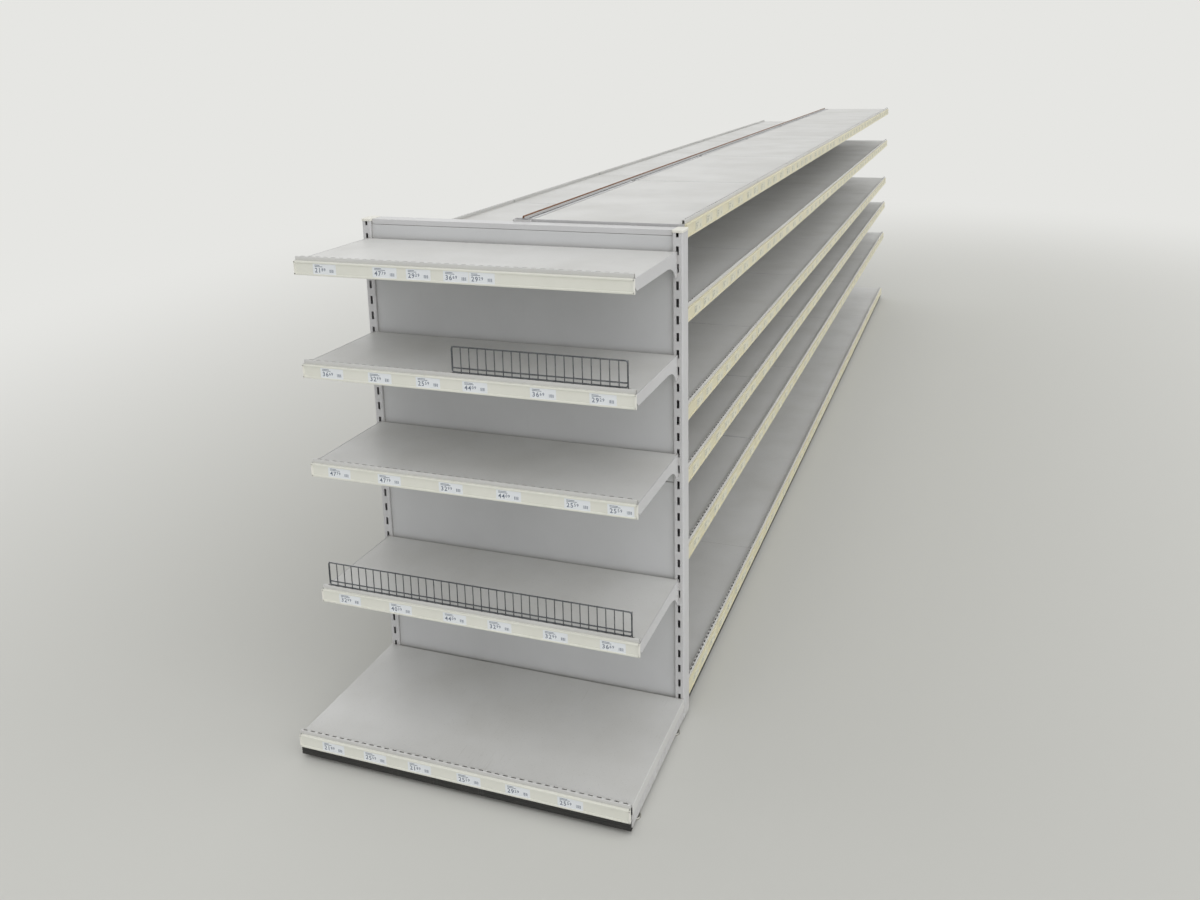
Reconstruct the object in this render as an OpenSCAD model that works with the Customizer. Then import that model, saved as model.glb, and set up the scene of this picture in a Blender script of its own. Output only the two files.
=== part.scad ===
// Double-sided shop shelving run with an end bay: slotted uprights, hooked brackets, folded steel trays.
// +Y runs along the shelving away from the end bay, +X is the right-hand side, the floor is at z = 0.

/* [Run] */
// Distance between two uprights of the run
bay_w = 1000; // [700:50:1250]
// Number of bays in the run
bays = 6; // [2:1:7]
// Depth of the trays on the two long sides
run_d = 470; // [370:50:570]

/* [Uprights] */
// Width of an upright's slotted face
post_w = 30; // [26:1:40]
// Depth of an upright
post_d = 60; // [50:1:80]
// Wall of an upright
post_t = 2; // [1.5:0.5:3]
// Outer corner radius of an upright
post_r = 4; // [4:0.5:6]
// Top of the run's uprights
run_post_h = 1545; // [1445:50:1695]
// How far the end bay's posts end below the run's
end_post_drop = 6; // [0:1:10]
// Distance between two slots
slot_pitch = 50; // [50:1:50]
// Height of a slot
slot_h = 25; // [22:1:30]
// Width of a slot
slot_w = 8; // [8:0.5:10]
// Top of the run's uprights down to the lower edge of their first slot
slot_top = 10; // [9:1:14]
// Top of the end bay's posts down to the lower edge of their first slot
end_slot_top = 19; // [15:1:23]

/* [Trays] */
// Sheet of the trays, panels and plinths
sheet_t = 2; // [1.5:0.5:3]
// Height of the bead along a tray's front edge
bead_h = 12; // [8:1:16]
// Width of the bead
bead_w = 9; // [8:1:14]
// Distance between two slots in the bead of an end bay's tray
bead_pitch = 25; // [20:5:50]
// Length of a slot in the bead
bead_slot_l = 14; // [8:1:16]
// Width of a slot in the bead
bead_slot_w = 5; // [5:0.25:6]
// Front fold below the tray's surface
fold_h = 40; // [34:1:44]
// Depth of the base trays of the run
base_d = 470; // [370:50:570]
// Surface of the base trays
base_z = 80; // [80:1:130]
// Width of the stiffening rib under a tray
rib_w = 50; // [30:5:80]
// Depth of the stiffening rib
rib_h = 15; // [10:1:20]
// Depth of the end bay's trays
end_d = 375; // [320:5:470]
// Depth of the end bay's base tray
end_base_d = 520; // [470:5:600]

/* [Brackets] */
// Plate of a bracket
bracket_t = 2.5; // [2:0.5:3]
// Height of a bracket along the tray
bracket_h = 34; // [32:1:40]
// Height of a bracket at the upright
heel_h = 72; // [70:1:80]
// Length of the curve between the two heights
heel_len = 95; // [70:5:140]
// Neck of a hook
hook_h = 9; // [7:1:11]
// Tongue of a hook behind the upright's wall
hook_t = 3; // [2:0.5:4]

/* [Ticket strips] */
// Height of a ticket strip
strip_h = 40; // [30:1:44]
// Depth of a ticket strip
strip_d = 7; // [5:0.5:9]
// Wall of a ticket strip
strip_t = 1.5; // [1:0.25:2]
// Height of the two lips that hold the tickets
strip_lip = 6; // [4:0.5:8]

/* [Fences] */
// Height of a wire fence above its bead
fence_h = 75; // [50:1:110]
// Length of the lower fence
low_fence_w = 950; // [500:25:950]
// Length of the upper fence
high_fence_w = 500; // [200:25:600]
// Thickness of the lengthways wires
wire_d = 4; // [3:0.5:5]
// Thickness of the upright wires
bar_d = 3; // [2:0.5:4]
// Distance between the two lowest lengthways wires
wire_gap = 12; // [8:1:16]
// Length of the upright wires below the top of the bead
pin_l = 7; // [5:1:10]

/* [Base] */
// Width of a base leg
leg_w = 26; // [22:1:28]
// Clear height below the base legs and plinths
floor_gap = 12; // [10:1:16]
// Diameter of a levelling foot
foot_d = 36; // [28:1:40]
// Thickness of a levelling foot
foot_h = 6; // [5:1:8]
// Diameter of a foot's stem
stem_d = 10; // [8:1:12]

/* [Hidden] */
$fn = 32;
seat = 0.3;
bay_gap = 1;
// Tray surfaces counted in slots below an upright's top slot
right_steps = [20, 15, 11, 5, 0];
left_steps = [20, 15, 11, 7, 2];
end_steps = [21, 13, 7, 1];
tray_over_slot = 10;
end_post_h = run_post_h - end_post_drop;
run_slot_z = run_post_h - slot_top;
end_slot_z = end_post_h - end_slot_top;
function tray_z(top_z, steps) = top_z + tray_over_slot - steps * slot_pitch;
function slots(top_z) = floor((top_z - floor_gap - leg_seat) / slot_pitch);
leg_seat = 2;
ledge_drop = 30;
ledge_w = 10;
hook_drop = 10;
hooks = 2;
rear_fold = 24;
return_w = 14;
leg_t = 2.5;
leg_top = base_z - ledge_drop;
leg_h = leg_top - floor_gap;
foot_in = 60;
// The end bay is as wide as the run is deep, so its posts stand at the run's front corners
end_w = post_d + 2 * run_d;
post_y = post_d / 2;
run_y0 = post_d + post_w / 2;
run_end_y = run_y0 + bays * bay_w + max(post_w, foot_d) / 2;
shift_y = (end_base_d + strip_d - run_end_y) / 2;
rail_h = 15;
panel_rows = 4;
panel_fold = 10;
panel_in = 8;
divider_rail_h = 6;
divider_rail_w = 18;
board_t = 5;
board_rise = 3;
cap_t = 1.5;
cap_h = 6;
groove = 1;
rib_end = 6;
weld = 0.5;
cap_step = 1;

// Places children, modelled with x along a bay and y outwards from the upright, on one face of the frame
module on_right(bay) {
    translate([post_d / 2, run_y0 + (bay + 0.5) * bay_w, 0]) rotate(-90) children();
}
module on_left(bay) {
    translate([-post_d / 2, run_y0 + (bay + 0.5) * bay_w, 0]) rotate(90) children();
}
module on_end() rotate(180) children();
module each_bay_right() for (bay = [0:bays - 1]) on_right(bay) children();
module each_bay_left() for (bay = [0:bays - 1]) on_left(bay) children();

// A sheet section in the y-z plane, drawn along x and centred
module section(w) rotate([90, 0, 90]) translate([0, 0, -w / 2]) linear_extrude(w) children();

// Rectangle with rounded corners
module rounded(w, d, r) {
    square([w - 2 * r, d], center = true);
    square([w, d - 2 * r], center = true);
    for (x = [-1, 1], y = [-1, 1]) translate([x * (w / 2 - r), y * (d / 2 - r)]) circle(r);
}
module tube(w, d, r, t) difference() {
    rounded(w, d, r);
    rounded(w - 2 * t, d - 2 * t, r - t);
}

// Slotted tube: every slot goes through the faces named by `faces`
module slotted_post(h, top_z, faces) {
    difference() {
        translate([0, 0, floor_gap]) linear_extrude(h - floor_gap) tube(post_w, post_d, post_r, post_t);
        for (n = [0:slots(top_z)], face = faces)
            translate([-slot_w / 2, face * (post_d - post_t) / 2 - post_t, top_z - n * slot_pitch])
                cube([slot_w, 2 * post_t, slot_h]);
    }
}

// Bracket outline: straight under the tray, curving down to its heel at the upright
function heel(t) = let (a = [heel_len, -bracket_h], b = [heel_len / 3, -bracket_h - 3], c = [18, -heel_h])
    (1 - t) * (1 - t) * a + 2 * t * (1 - t) * b + t * t * c;
module bracket(d) {
    cut = 12;
    rotate([90, 0, 90]) linear_extrude(bracket_t) {
        polygon(concat(
            [[seat, 0], [d, 0], [d, -bracket_h + cut], [d - cut, -bracket_h]],
            [for (t = [0:0.2:1]) heel(t)],
            [[seat, -heel_h]]
        ));
        for (n = [0:hooks - 1]) translate([0, -tray_over_slot - n * slot_pitch]) {
            translate([-post_t - seat - hook_t, 0]) square([post_t + 2 * seat + hook_t + 1, hook_h]);
            translate([-post_t - seat - hook_t, -hook_drop]) square([hook_t, hook_drop + hook_h]);
        }
    }
    // Inward ledge under the tray's side fold
    translate([0, heel_len / 4, -ledge_drop - sheet_t])
        cube([bracket_t + ledge_w, d - heel_len / 4 - return_w - 2, sheet_t]);
}
module bracket_at_start(w, d) translate([-w / 2 + bay_gap / 2, 0, 0]) bracket(d);
module bracket_at_end(w, d) mirror([1, 0, 0]) bracket_at_start(w, d);

// Folded tray with a box bead along its front edge and a stiffening rib underneath
module tray(w, d) {
    section(w) polygon([
        [seat, 0], [d - bead_w, 0], [d - bead_w, bead_h], [d, bead_h], [d, -fold_h],
        [d - return_w, -fold_h], [d - return_w, sheet_t - fold_h], [d - sheet_t, sheet_t - fold_h],
        [d - sheet_t, bead_h - sheet_t], [d - bead_w + sheet_t, bead_h - sheet_t],
        [d - bead_w + sheet_t, -sheet_t], [seat + sheet_t, -sheet_t], [seat + sheet_t, -rear_fold],
        [seat, -rear_fold]
    ]);
    for (side = [-1, 1])
        translate([side * (w - sheet_t) / 2 - sheet_t / 2, seat, seat - ledge_drop])
            cube([sheet_t, d - return_w - 1, ledge_drop - seat]);
    section(w - 2 * (sheet_t + rib_end)) translate([(d - rib_w) / 2, -sheet_t - rib_h]) difference() {
        square([rib_w, rib_h]);
        translate([sheet_t, sheet_t]) square([rib_w - 2 * sheet_t, rib_h]);
    }
}
tray_inset = 2 * (bracket_t + seat) + bay_gap;
module shelf(w, d) tray(w - tray_inset, d);

// Row of slots through the bead of the tray that is given, for the pins of a fence
function last_slot(w) = floor((w - tray_inset) / 2 / bead_pitch - 0.5);
module pierced(w, d) difference() {
    children();
    for (n = [-last_slot(w):last_slot(w)])
        translate([n * bead_pitch - bead_slot_l / 2, d - (bead_w + bead_slot_w) / 2, sheet_t])
            cube([bead_slot_l, bead_slot_w, bead_h]);
}

// Channel that holds the tickets on a tray's front, below the bead
module ticket_strip(w, d) section(w - bay_gap) translate([d, -strip_h]) {
    square([strip_t, strip_h]);
    for (z = [0, strip_h - strip_t]) translate([0, z]) square([strip_d, strip_t]);
    for (z = [0, strip_h - strip_lip]) translate([strip_d - strip_t, z]) square([strip_t, strip_lip]);
}

// Sheet panel with its upper and lower edges folded back, its face at y = 0
module folded_panel(w, h) {
    section(w) difference() {
        translate([-panel_fold, 0]) square([panel_fold, h]);
        translate([-panel_fold - 1, sheet_t]) square([panel_fold + 1 - sheet_t, h - 2 * sheet_t]);
    }
}
module panel_stack(w, z0, z1) {
    pitch = (z1 - z0) / panel_rows;
    for (n = [0:panel_rows - 1]) translate([0, 0, z0 + n * pitch]) folded_panel(w, pitch - bay_gap);
}

// Plinth panel with two pressed lines, under the front fold of a base tray
module plinth(w, d) {
    h = base_z - fold_h - floor_gap - seat;
    translate([0, d, floor_gap]) section(w) difference() {
        translate([-return_w, 0]) square([return_w, h]);
        translate([-return_w - 1, sheet_t]) square([return_w + 1 - sheet_t, h - 2 * sheet_t]);
        for (line = [1, 2]) translate([-groove, line * h / 3 - groove]) square([groove + 1, 2 * groove]);
    }
}

// Channel leg, open below, hooked into an upright's lowest slot
module base_leg(d, top_z) {
    hook_z = top_z - slots(top_z) * slot_pitch;
    end_y = d - return_w - seat;
    difference() {
        translate([-leg_w / 2, seat, floor_gap]) cube([leg_w, end_y - seat, leg_h]);
        translate([leg_t - leg_w / 2, seat + leg_t, floor_gap - 1])
            cube([leg_w - 2 * leg_t, end_y - seat - 2 * leg_t, leg_h + 1 - leg_t]);
    }
    translate([-bracket_t, 0, hook_z]) {
        translate([0, -post_t - seat - hook_t, 0]) cube([2 * bracket_t, post_t + 3 * seat + hook_t, hook_h]);
        translate([0, -post_t - seat - hook_t, hook_h - 2 * hook_drop + 1])
            cube([2 * bracket_t, hook_t, 2 * hook_drop - 1]);
    }
}
module foot(y) {
    translate([0, y, 0]) {
        cylinder(d = foot_d, h = foot_h);
        translate([0, 0, foot_h]) cylinder(d = stem_d, h = leg_top - leg_t - foot_h - seat);
    }
}
module leg_feet(d) {
    foot(foot_in);
    foot(d - return_w - foot_in);
}

// Wire fence whose upright wires end as pins in a tray's bead
module wire(d, len) cylinder(d = d, h = len, $fn = 8);
module fence(w, h) {
    count = floor(w / bead_pitch);
    for (z = [wire_d / 2, wire_d / 2 + wire_gap, h - wire_d / 2])
        translate([-wire_d / 2, weld - (wire_d + bar_d) / 2, z]) rotate([0, 90, 0])
            wire(wire_d, count * bead_pitch + wire_d);
    for (n = [0:count]) translate([n * bead_pitch, 0, -pin_l]) wire(bar_d, h + pin_l);
}
// Stands a fence in the bead of an end bay's tray, its first wire in the slot with that number
module fence_on_tray(level, first) on_end()
    translate([first * bead_pitch, end_d - bead_w / 2, tray_z(end_slot_z, end_steps[level]) + bead_h + seat])
        children();

module end_post(side) {
    color("gainsboro") translate([side * end_w / 2, post_y, 0]) slotted_post(end_post_h, end_slot_z, [-1]);
}
module end_post_caps() {
    fit = cap_t + seat;
    w = post_w + 2 * fit;
    d = post_d + 2 * fit;
    color("whitesmoke") for (side = [-1, 1]) translate([side * end_w / 2, post_y, end_post_h]) {
        translate([0, 0, -cap_h]) linear_extrude(cap_h) tube(w, d, post_r + fit, cap_t);
        linear_extrude(cap_t / 2) rounded(w, d, post_r + fit);
        linear_extrude(cap_t) rounded(w - 2 * cap_step, d - 2 * cap_step, post_r + fit - cap_step);
    }
}
// Rectangular tube along x, its lower front edge at the origin
module rail(w, d, h) section(w) difference() {
    square([d, h]);
    translate([sheet_t, sheet_t]) square([d - 2 * sheet_t, h - 2 * sheet_t]);
}
module end_cross_rails() {
    top_w = end_w - post_w - 2 * (cap_t + 2 * seat);
    low_y = panel_in + panel_fold + seat;
    color("whitesmoke") {
        translate([0, panel_in, end_post_h - rail_h]) rail(top_w, post_d - panel_in, rail_h);
        translate([0, low_y, floor_gap]) rail(end_w - post_w - 2 * seat, post_d - low_y, leg_h);
    }
}
module end_back_panels() {
    color("gainsboro") on_end() translate([0, -panel_in, 0])
        panel_stack(end_w - post_w - 2 * seat, leg_top + seat, end_post_h - rail_h);
}
module end_base_legs() {
    color("gainsboro") on_end() for (side = [-1, 1]) translate([side * end_w / 2, 0, 0])
        base_leg(end_base_d, end_slot_z);
}
module end_base_tray() {
    color("whitesmoke") on_end() translate([0, 0, base_z])
        pierced(end_w, end_base_d) tray(end_w + post_w, end_base_d);
}
module end_plinth() color("gainsboro") on_end() plinth(end_w + post_w, end_base_d);
module end_shelf(level) {
    color("whitesmoke") on_end() translate([0, 0, tray_z(end_slot_z, end_steps[level])])
        pierced(end_w, end_d) shelf(end_w, end_d);
}
module end_brackets_right() {
    color("gainsboro") on_end() for (steps = end_steps) translate([0, 0, tray_z(end_slot_z, steps)])
        bracket_at_start(end_w, end_d);
}
module end_brackets_left() {
    color("gainsboro") on_end() for (steps = end_steps) translate([0, 0, tray_z(end_slot_z, steps)])
        bracket_at_end(end_w, end_d);
}
module end_ticket_strips() {
    color("cornsilk") on_end() {
        for (steps = end_steps) translate([0, 0, tray_z(end_slot_z, steps)]) ticket_strip(end_w, end_d);
        translate([0, 0, base_z]) ticket_strip(end_w + post_w + bay_gap, end_base_d);
    }
}
module wire_fence_lower() {
    color("dimgray") fence_on_tray(0, -floor(low_fence_w / bead_pitch / 2)) fence(low_fence_w, fence_h);
}
module wire_fence_upper() {
    color("dimgray") fence_on_tray(2, -last_slot(end_w)) fence(high_fence_w, fence_h);
}

module run_uprights() {
    color("gainsboro") for (n = [0:bays]) translate([0, run_y0 + n * bay_w, 0]) rotate(90)
        slotted_post(run_post_h, run_slot_z, [-1, 1]);
}
module run_legs() {
    for (n = [0:bays]) translate([0, (n - 0.5) * bay_w, 0]) on_right(0) base_leg(base_d, run_slot_z);
}
module right_base_legs() color("gainsboro") run_legs();
module left_base_legs() color("gainsboro") mirror([1, 0, 0]) run_legs();
module run_base_tray() translate([0, 0, base_z]) tray(bay_w - bay_gap, base_d);
module right_base_trays() color("whitesmoke") each_bay_right() run_base_tray();
module left_base_trays() color("whitesmoke") each_bay_left() run_base_tray();
module right_plinths() color("gainsboro") each_bay_right() plinth(bay_w - bay_gap, base_d);
module left_plinths() color("gainsboro") each_bay_left() plinth(bay_w - bay_gap, base_d);
module run_shelf(steps) translate([0, 0, tray_z(run_slot_z, steps)]) shelf(bay_w, run_d);
module right_shelves(level) color("whitesmoke") each_bay_right() run_shelf(right_steps[level]);
module left_shelves(level) color("whitesmoke") each_bay_left() run_shelf(left_steps[level]);
module bracket_pairs(levels) {
    for (steps = levels) translate([0, 0, tray_z(run_slot_z, steps)]) {
        bracket_at_start(bay_w, run_d);
        bracket_at_end(bay_w, run_d);
    }
}
module right_brackets() color("gainsboro") each_bay_right() bracket_pairs(right_steps);
module left_brackets() color("gainsboro") each_bay_left() bracket_pairs(left_steps);
module run_panels() {
    translate([0, -panel_in, 0]) panel_stack(bay_w - post_w - 2 * seat, floor_gap, run_post_h);
}
module right_back_panels() color("gainsboro") each_bay_right() run_panels();
module left_back_panels() color("gainsboro") each_bay_left() run_panels();
module divider_rails() {
    color("whitesmoke") for (bay = [0:bays - 1])
        translate([0, run_y0 + (bay + 0.5) * bay_w, run_post_h]) rotate(90) section(bay_w - bay_gap)
            difference() {
                translate([-divider_rail_w / 2, 0]) square([divider_rail_w, divider_rail_h]);
                translate([-board_t / 2 - seat, sheet_t]) square([board_t + 2 * seat, divider_rail_h]);
            }
}
module divider_boards() {
    color("peru") for (bay = [0:bays - 1])
        translate([-board_t / 2, run_y0 + bay * bay_w + bay_gap / 2, run_post_h + sheet_t])
            cube([board_t, bay_w - bay_gap, divider_rail_h - sheet_t + board_rise]);
}
module run_strips(levels) {
    for (steps = levels) translate([0, 0, tray_z(run_slot_z, steps)]) ticket_strip(bay_w, run_d);
    translate([0, 0, base_z]) ticket_strip(bay_w, base_d);
}
module right_ticket_strips() color("cornsilk") each_bay_right() run_strips(right_steps);
module left_ticket_strips() color("cornsilk") each_bay_left() run_strips(left_steps);
module levelling_feet() {
    color("silver") {
        for (side = [0, 1], n = [0:bays]) mirror([side, 0, 0]) translate([0, (n - 0.5) * bay_w, 0])
            on_right(0) leg_feet(base_d);
        on_end() for (side = [-1, 1]) translate([side * end_w / 2, 0, 0]) leg_feet(end_base_d);
    }
}

module placed() translate([0, shift_y, 0]) children();

placed() end_post(1);  // end_post_right
placed() end_post(-1);  // end_post_left
placed() end_post_caps();
placed() end_cross_rails();
placed() end_back_panels();
placed() end_base_legs();
placed() end_base_tray();
placed() end_plinth();
placed() end_shelf(0);  // end_shelf_1
placed() end_shelf(1);  // end_shelf_2
placed() end_shelf(2);  // end_shelf_3
placed() end_shelf(3);  // end_shelf_4
placed() end_brackets_right();
placed() end_brackets_left();
placed() end_ticket_strips();
placed() wire_fence_lower();
placed() wire_fence_upper();
placed() run_uprights();
placed() right_base_legs();
placed() left_base_legs();
placed() right_base_trays();
placed() left_base_trays();
placed() right_plinths();
placed() left_plinths();
placed() right_shelves(0);  // right_shelves_1
placed() right_shelves(1);  // right_shelves_2
placed() right_shelves(2);  // right_shelves_3
placed() right_shelves(3);  // right_shelves_4
placed() right_shelves(4);  // right_shelves_5
placed() left_shelves(0);  // left_shelves_1
placed() left_shelves(1);  // left_shelves_2
placed() left_shelves(2);  // left_shelves_3
placed() left_shelves(3);  // left_shelves_4
placed() left_shelves(4);  // left_shelves_5
placed() right_brackets();
placed() left_brackets();
placed() right_back_panels();
placed() left_back_panels();
placed() divider_rails();
placed() divider_boards();
placed() right_ticket_strips();
placed() left_ticket_strips();
placed() levelling_feet();
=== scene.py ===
import math
import bmesh
import bpy
from mathutils import Matrix, Vector


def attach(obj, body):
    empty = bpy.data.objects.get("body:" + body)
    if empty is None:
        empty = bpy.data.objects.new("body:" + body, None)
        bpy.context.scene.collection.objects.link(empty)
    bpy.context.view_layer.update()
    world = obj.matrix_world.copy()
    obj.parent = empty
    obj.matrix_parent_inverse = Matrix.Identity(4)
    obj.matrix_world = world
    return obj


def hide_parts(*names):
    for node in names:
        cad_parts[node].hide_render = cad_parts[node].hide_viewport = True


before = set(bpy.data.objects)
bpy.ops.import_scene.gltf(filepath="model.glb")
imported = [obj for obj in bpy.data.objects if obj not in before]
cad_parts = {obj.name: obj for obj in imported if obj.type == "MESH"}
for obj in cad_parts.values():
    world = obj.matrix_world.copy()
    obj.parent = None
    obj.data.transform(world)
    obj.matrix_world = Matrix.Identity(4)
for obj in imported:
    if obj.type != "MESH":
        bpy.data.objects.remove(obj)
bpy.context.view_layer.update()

# Shop shelving run with an end bay. Sizes in the dictionaries are millimetres, meshes are metres.
# A bay is modelled with x along it, y outwards from the upright and z up, then placed on its side of the run.
scene = bpy.context.scene
mm = 0.001

# face is the y of the end bay's face, and the run's first uprights stand firstPost behind it
run = {"bays": 6, "bayWidth": 1000, "postDepth": 60, "postWidth": 30, "face": -2783, "firstPost": 75,
       "depth": 470, "baseDepth": 470, "baseTop": 80, "legTop": 50, "floorGap": 12, "postTop": 1545,
       "joint": 1, "rightLevels": [545, 795, 995, 1295, 1545], "leftLevels": [545, 795, 995, 1195, 1445]}
endBay = {"width": 1000, "depth": 375, "baseDepth": 520, "baseWidth": 1030, "postTop": 1539,
          "levels": [480, 880, 1180, 1480]}
flanks = [("right", 1, run["rightLevels"]), ("left", -1, run["leftLevels"])]


def flankPlace(side):
    # the first bay on one side of the run, 1 for the right and -1 for the left
    middle = run["face"] + run["firstPost"] + run["bayWidth"] / 2
    return (Matrix.Translation((side * run["postDepth"] / 2, middle, 0))
            @ Matrix.Rotation(-side * math.pi / 2, 4, "Z"))


endPlace = Matrix.Translation((0, run["face"], 0)) @ Matrix.Rotation(math.pi, 4, "Z")
unturned = Matrix.Identity(4)
toMetres = Matrix.Scale(mm, 4)


def alongDepth(side=1):
    # a sweep goes from back to front instead of along the bay
    return Matrix(((0, side, 0, 0), (1, 0, 0, 0), (0, 0, 1, 0), (0, 0, 0, 1)))


def linear(hexColour):
    channels = [int(hexColour[i:i + 2], 16) / 255 for i in (1, 3, 5)]
    return [c / 12.92 if c <= 0.04045 else ((c + 0.055) / 1.055) ** 2.4 for c in channels] + [1.0]


def addNode(tree, kind, inputs=None, **settings):
    # an input is given by name or number, and a node given as its value is linked by the first output in use
    node = tree.nodes.new(kind)
    for key, value in settings.items():
        setattr(node, key, value)
    for key, value in (inputs or {}).items():
        named = [socket for socket in node.inputs if socket.enabled and socket.name == key]
        socket = named[0] if named else node.inputs[key]
        if isinstance(value, bpy.types.Node):
            value = next(output for output in value.outputs if output.enabled)
        if isinstance(value, bpy.types.NodeSocket):
            tree.links.new(value, socket)
        else:
            socket.default_value = value
    return node


# A shell collects corners, faces and the sheet's own coordinates, in millimetres
def newShell():
    return {"verts": [], "faces": [], "uv": []}


def joinShells(shells):
    whole = newShell()
    for part in shells:
        start = len(whole["verts"])
        whole["verts"] += part["verts"]
        whole["faces"] += [tuple(v + start for v in face) for face in part["faces"]]
        whole["uv"] += part["uv"]
    return whole


def foldedOutline(path, sheet, inner, steps=4):
    # both faces of a folded sheet from the path of its middle, every corner bent round the inner radius
    points = [Vector(p) for p in path]
    left, right = [], []
    for i, point in enumerate(points):
        before = (point - points[i - 1]).normalized() if i else (points[1] - point).normalized()
        after = (points[i + 1] - point).normalized() if i < len(points) - 1 else before
        normal = Vector((-before.y, before.x))
        angle = math.atan2(before.x * after.y - before.y * after.x, before.dot(after))
        if abs(angle) < 0.01:
            left.append(point + normal * sheet / 2)
            right.append(point - normal * sheet / 2)
            continue
        side = math.copysign(1, angle)
        radius = inner + sheet / 2
        centre = point - before * radius * math.tan(abs(angle) / 2) + normal * side * radius
        for k in range(steps + 1):
            turned = Matrix.Rotation(angle * k / steps, 2) @ normal
            middle = centre - turned * side * radius
            left.append(middle + turned * sheet / 2)
            right.append(middle - turned * sheet / 2)
    return left + right[::-1]


def sweep(shell, outline, x0, x1, place=unturned, slots=None):
    # draws a closed outline of y and z along x
    verts, faces, uv = shell["verts"], shell["faces"], shell["uv"]
    outline = [Vector(p) for p in outline]
    base, count = len(verts), len(outline)
    along = [0.0]
    for i in range(count):
        along.append(along[-1] + (outline[(i + 1) % count] - outline[i]).length)
    for x in (x0, x1):
        verts.extend(place @ Vector((x, p.x, p.y)) for p in outline)
    for i in range(count):
        if slots and i in slots["edges"]:
            continue
        j = (i + 1) % count
        faces.append((base + i, base + j, base + count + j, base + count + i))
        uv.append([(x0, along[i]), (x0, along[i + 1]), (x1, along[i + 1]), (x1, along[i])])
    faces.append(tuple(base + i for i in range(count)))
    uv.append([(p.x, p.y) for p in outline])
    faces.append(tuple(base + count + i for i in reversed(range(count))))
    uv.append([(p.x, p.y) for p in reversed(outline)])
    if slots:
        cutSlots(shell, outline, (x0, x1), base, along, place, slots)


def cutSlots(shell, outline, xs, base, along, place, slots):
    # the two edges are the faces of one flat fold: bands go round the openings, and walls join both faces
    verts, faces, uv = shell["verts"], shell["faces"], shell["uv"]
    count, spans = len(outline), slots["spans"]
    ends = [x for span in spans for x in span]
    rings = []
    for edge in slots["edges"]:
        start, after = outline[edge], (edge + 1) % count
        near, far = sorted(slots["y"], key=lambda y: abs(y - start.x))
        ring = []
        for span in spans:
            ring.append(range(len(verts), len(verts) + 4))
            for end, y in ((0, near), (1, near), (1, far), (0, far)):
                verts.append(place @ Vector((span[end], y, start.y)))
        rings.append(ring)
        v0, v1 = along[edge], along[edge + 1]
        vNear, vFar = v0 + abs(near - start.x), v0 + abs(far - start.x)
        nearRow = [corner for corners in ring for corner in (corners[0], corners[1])]
        farRow = [corner for corners in ring for corner in (corners[3], corners[2])]
        for corner, row, v, vRow in ((edge, nearRow, v0, vNear), (after, farRow, v1, vFar)):
            faces.append((base + corner, *row, base + count + corner))
            uv.append([(xs[0], v)] + [(x, vRow) for x in ends] + [(xs[1], v)])
        for first, end, x in ((base, 0, xs[0]), (base + count, -1, xs[1])):
            faces.append((first + edge, nearRow[end], farRow[end], first + after))
            uv.append([(x, v0), (ends[end], vNear), (ends[end], vFar), (x, v1)])
        for k in range(len(spans) - 1):
            faces.append((ring[k][1], ring[k + 1][0], ring[k + 1][3], ring[k][2]))
            a, b = spans[k][1], spans[k + 1][0]
            uv.append([(a, vNear), (b, vNear), (b, vFar), (a, vFar)])
    # the outline runs back along the inner face, so its corners come the other way round
    for outer, inner in zip(*rings):
        for k in range(4):
            following = (k + 1) % 4
            faces.append((outer[k], outer[following], inner[3 - following], inner[3 - k]))
            uv.append([(0, 0)] * 4)


def box(shell, low, high, place):
    outline = [(low[1], low[2]), (high[1], low[2]), (high[1], high[2]), (low[1], high[2])]
    sweep(shell, outline, low[0], high[0], place)


def turnOutwards(mesh):
    bm = bmesh.new()
    bm.from_mesh(mesh)
    bmesh.ops.recalc_face_normals(bm, faces=bm.faces)
    bm.to_mesh(mesh)
    bm.free()


def newObject(name, mesh):
    item = bpy.data.objects.new(name, mesh)
    scene.collection.objects.link(item)
    return item


def shellObject(name, shell, place, smoothAngle):
    mesh = bpy.data.meshes.new(name)
    mesh.from_pydata([toMetres @ place @ Vector(v) for v in shell["verts"]], [], shell["faces"])
    layer = mesh.uv_layers.new(name="sheet")
    for loop, pair in zip(layer.data, [pair for face in shell["uv"] for pair in face]):
        loop.uv = (pair[0] * mm, pair[1] * mm)
    turnOutwards(mesh)
    mesh.shade_smooth()
    mesh.set_sharp_from_angle(angle=math.radians(smoothAngle))
    return newObject(name, mesh)


# Geometry Nodes
def newTree(name, sockets):
    # an empty tree with named inputs, their identifiers and the outputs of its Group Input
    tree = bpy.data.node_groups.new(name, "GeometryNodeTree")
    tree.interface.new_socket(name="Geometry", in_out="INPUT", socket_type="NodeSocketGeometry")
    ids = {}
    for key, kind in sockets.items():
        socket = tree.interface.new_socket(name=key, in_out="INPUT", socket_type="NodeSocket" + kind)
        ids[key] = socket.identifier
    tree.interface.new_socket(name="Geometry", in_out="OUTPUT", socket_type="NodeSocketGeometry")
    return tree, ids, addNode(tree, "NodeGroupInput").outputs


def endTree(tree, geometry, material):
    real = addNode(tree, "GeometryNodeRealizeInstances", {"Geometry": geometry})
    finish = addNode(tree, "GeometryNodeSetMaterial", {"Geometry": real, "Material": material})
    addNode(tree, "NodeGroupOutput", {"Geometry": finish})


def runNodes(item, group, values):
    # the evaluated result becomes the object's own mesh, without the modifier
    tree, ids = group
    work = item.modifiers.new(tree.name, "NODES")
    work.node_group = tree
    for name, value in values.items():
        work[ids[name]] = value
    mesh = bpy.data.meshes.new_from_object(item.evaluated_get(bpy.context.evaluated_depsgraph_get()))
    item.modifiers.clear()
    item.data = mesh


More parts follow.
